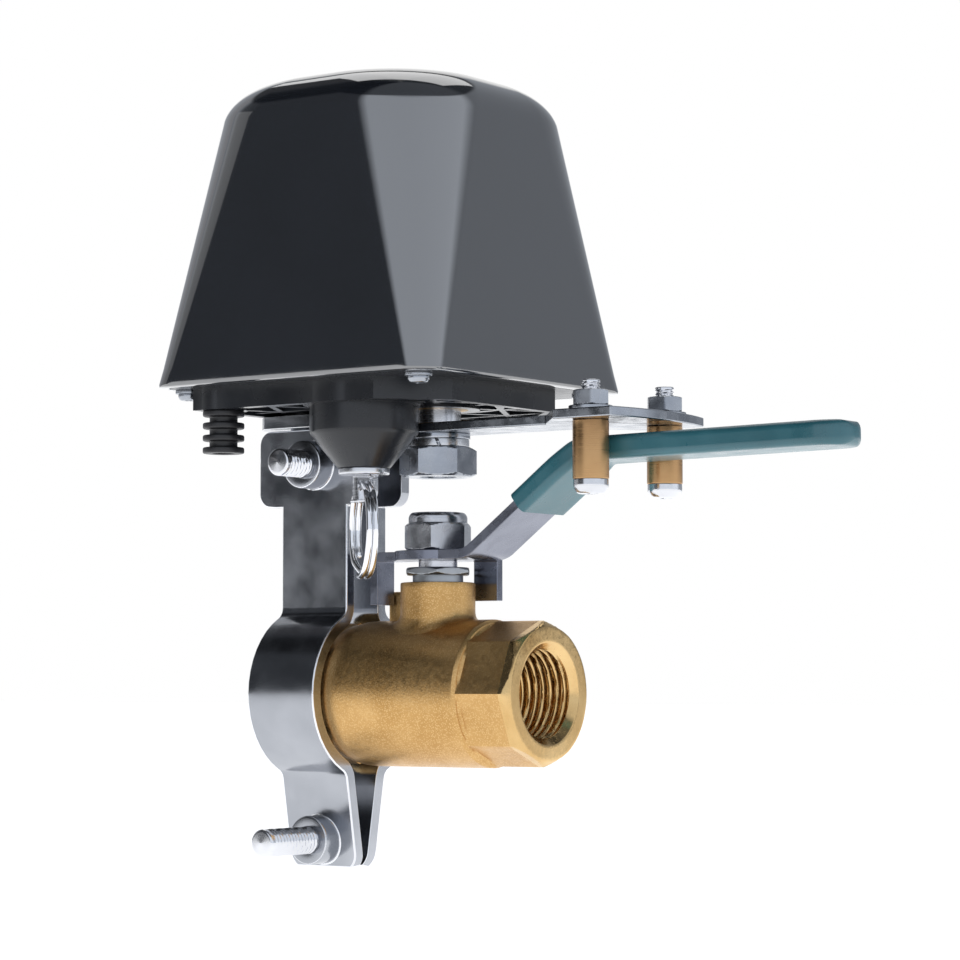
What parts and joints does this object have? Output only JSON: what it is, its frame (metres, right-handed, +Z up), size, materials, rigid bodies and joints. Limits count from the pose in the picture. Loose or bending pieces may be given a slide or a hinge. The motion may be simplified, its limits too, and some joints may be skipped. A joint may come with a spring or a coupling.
{
  "type": "motorized valve actuator",
  "caption": "Clamp-on motorized actuator with a domed head, a pull-ring clutch and a drive arm that turns the lever of a threaded brass ball valve.",
  "frame": {"origin": "centre of the ball, where the pipe axis crosses the stem axis", "axes": "+X along the pipe towards the outlet port, +Z up the stem towards the head, +Y to the side of the bracket's bolt heads"},
  "size_m": [0.1514, 0.0744, 0.1709],
  "materials": {
    "head_plastic": "glossy moulded black",
    "base_plastic": "satin moulded black",
    "seal_rubber": "soft foam rubber",
    "gland_rubber": "ribbed black rubber",
    "button_plastic": "satin",
    "lens": "smoked clear window",
    "board": "green solder mask",
    "board_parts": "moulded component bodies",
    "switch_plastic": "moulded",
    "motor_steel": "plated steel",
    "gearhead_metal": "cast zinc",
    "pinion_brass": "machined brass",
    "gear_plastic": "natural acetal",
    "pin_steel": "ground steel",
    "spring_steel": "spring steel",
    "ring_chrome": "bright nickel",
    "bush_bronze": "sintered bronze",
    "zinc": "bright zinc plate",
    "sleeve_brass": "polished copper-coloured brass",
    "screw_chrome": "bright nickel plate",
    "bracket_nickel": "dark bright nickel plate",
    "valve_brass": "bead-blasted brass with machined faces",
    "ball_chrome": "hard chrome",
    "seat_plastic": "white fluoropolymer",
    "gland_steel": "dull zinc",
    "lever_steel": "plated strip",
    "grip_vinyl": "dipped vinyl sleeve",
    "nut_chrome": "bright zinc"
  },
  "bodies": {
    "head": {"cover": "head_plastic", "cover_seal": "seal_rubber", "cover_screws": "zinc", "cover_washers": "zinc", "base_plate": "base_plastic", "clutch_housing": "base_plastic", "cable_gland": "gland_rubber", "indicator_lens": "lens", "circuit_board": "board", "board_parts": "board_parts", "board_brackets": "zinc", "motor_can": "motor_steel", "gearhead": "gearhead_metal", "idler_axle": "pin_steel", "clutch_spring": "spring_steel", "clutch_bush": "pin_steel", "output_bush": "bush_bronze", "limit_switches": "switch_plastic", "gearbox_plate": "motor_steel", "gearbox_pillars": "pinion_brass", "pillar_screws": "zinc", "bracket_frame": "bracket_nickel", "clamp_jaw": "bracket_nickel", "upper_clamp_bolt": "screw_chrome", "lower_clamp_bolt": "screw_chrome", "bracket_screws": "zinc", "bracket_inserts": "pinion_brass", "valve_body": "valve_brass", "end_adapter": "valve_brass", "ball_seats": "seat_plastic", "stem_packing": "seat_plastic", "gland_nut": "gland_steel"},
    "button": {"side_button": "button_plastic"},
    "pinion": {"drive_pinion": "pinion_brass"},
    "idler": {"idler_gear": "gear_plastic"},
    "clutch_gear_body": {"clutch_gear": "gear_plastic"},
    "pull_pin": {"clutch_pin": "pin_steel", "clutch_clips": "spring_steel"},
    "ring_pull": {"pull_ring": "ring_chrome"},
    "drive": {"output_gear": "gear_plastic", "output_shaft": "pin_steel", "limit_cam": "gear_plastic", "drive_arm": "zinc", "arm_washer": "zinc", "arm_lock_washer": "spring_steel", "arm_nut": "zinc", "lever_sleeves": "sleeve_brass", "sleeve_screws": "screw_chrome", "sleeve_washers": "zinc", "sleeve_nuts": "zinc"},
    "valve_lever": {"ball": "ball_chrome", "stem": "pin_steel", "lever": "lever_steel", "lever_grip": "grip_vinyl", "lever_nut": "nut_chrome"}
  },
  "joints": [
    {"name": "arm_turn", "type": "hinge", "parent": "head", "child": "drive", "pos_m": [0, 0, 0.06], "axis": [0, 0, 1], "range_deg": [0, 90]},
    {"name": "lever_turn", "type": "hinge", "parent": "head", "child": "valve_lever", "pos_m": [0, 0, 0.03], "axis": [0, 0, 1], "range_deg": [0, 90]},
    {"name": "pull_pin_slide", "type": "slide", "parent": "head", "child": "pull_pin", "axis": [0, 0, -1], "range_m": [0, 0.0055], "stiffness_N_per_m": 1200, "springref_m": -0.004, "deforming": ["clutch_spring"]},
    {"name": "clutch_gear_turn", "type": "hinge", "parent": "pull_pin", "child": "clutch_gear_body", "pos_m": [-0.00577, -0.01831, 0.075], "axis": [0, 0, 1], "range_deg": [-270.5, 0.5]},
    {"name": "idler_turn", "type": "hinge", "parent": "head", "child": "idler", "pos_m": [-0.02114, -0.0156, 0.08], "axis": [0, 0, 1], "range_deg": [-0.5, 900.5]},
    {"name": "pinion_turn", "type": "hinge", "parent": "head", "child": "pinion", "pos_m": [-0.01394, -0.00313, 0.087], "axis": [0, 0, 1], "range_deg": [-2701, 1]},
    {"name": "ring_swing", "type": "hinge", "parent": "pull_pin", "child": "ring_pull", "pos_m": [-0.00577, -0.01831, 0.044], "axis": [0.7547, -0.6561, 0], "range_deg": [-50, 0]},
    {"name": "button_press", "type": "slide", "parent": "head", "child": "button", "axis": [1, 0, 0], "range_m": [0, 0.0008], "stiffness_N_per_m": 800, "springref_m": -0.001}
  ],
  "couplings": [
    {"joint": "lever_turn", "follows": "arm_turn", "ratio": 1},
    {"joint": "clutch_gear_turn", "follows": "arm_turn", "ratio": -3},
    {"joint": "idler_turn", "follows": "arm_turn", "ratio": 10},
    {"joint": "pinion_turn", "follows": "arm_turn", "ratio": -30}
  ]
}
